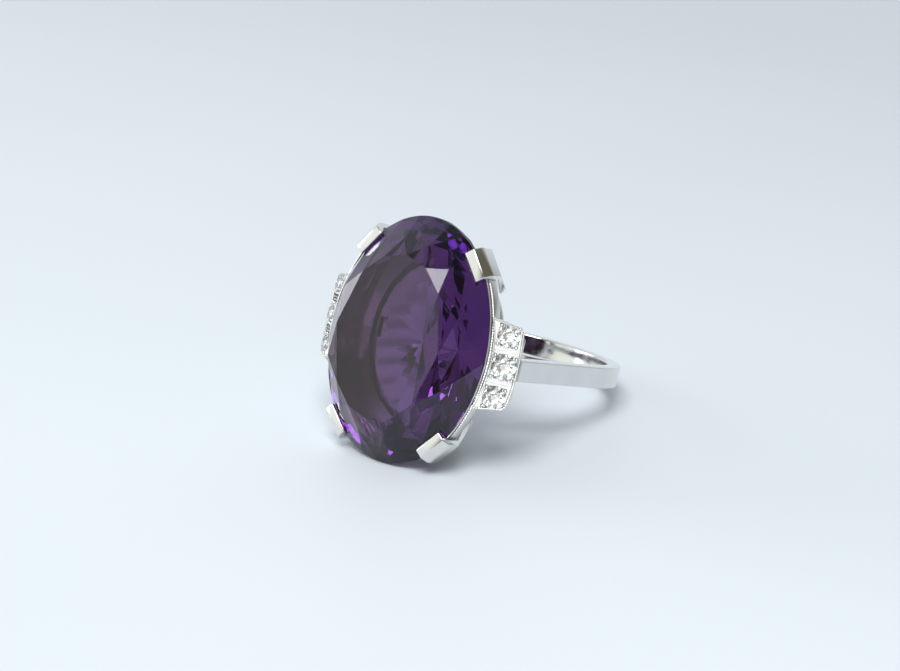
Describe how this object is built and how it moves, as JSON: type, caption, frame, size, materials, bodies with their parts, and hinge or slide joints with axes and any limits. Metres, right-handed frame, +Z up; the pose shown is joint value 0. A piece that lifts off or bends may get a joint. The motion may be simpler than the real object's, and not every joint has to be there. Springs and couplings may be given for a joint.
{
  "type": "cocktail ring",
  "caption": "Finger ring with a large oval faceted purple stone in flat claws, sloping shoulder plates of small round clear stones and a slim polished band.",
  "frame": {"origin": "on the surface that the ring lies on, at the middle of its footprint's box", "axes": "+Z up; +X across the stone's width, towards its right shoulder; the stone faces -Y and up, and the band's back is towards +Y"},
  "size_m": [0.0194, 0.0282, 0.0188],
  "materials": {
    "white_gold": "polished white gold",
    "amethyst": "polished facets, deep violet",
    "diamond": "polished facets, colourless"
  },
  "bodies": {
    "root": {"amethyst": "amethyst", "basket": "white_gold", "base_rail": "white_gold", "claw_upper_right": "white_gold", "claw_upper_left": "white_gold", "claw_lower_left": "white_gold", "claw_lower_right": "white_gold", "girdle_bezel_right": "white_gold", "gallery_band_right": "white_gold", "diamond_plate_right": "white_gold", "shoulder_bracket_right": "white_gold", "finger_bridge_right": "white_gold", "diamond_right_upper": "diamond", "diamond_right_middle": "diamond", "diamond_right_lower": "diamond", "girdle_bezel_left": "white_gold", "gallery_band_left": "white_gold", "diamond_plate_left": "white_gold", "shoulder_bracket_left": "white_gold", "finger_bridge_left": "white_gold", "diamond_left_upper": "diamond", "diamond_left_middle": "diamond", "diamond_left_lower": "diamond", "shank": "white_gold"}
  },
  "joints": []
}
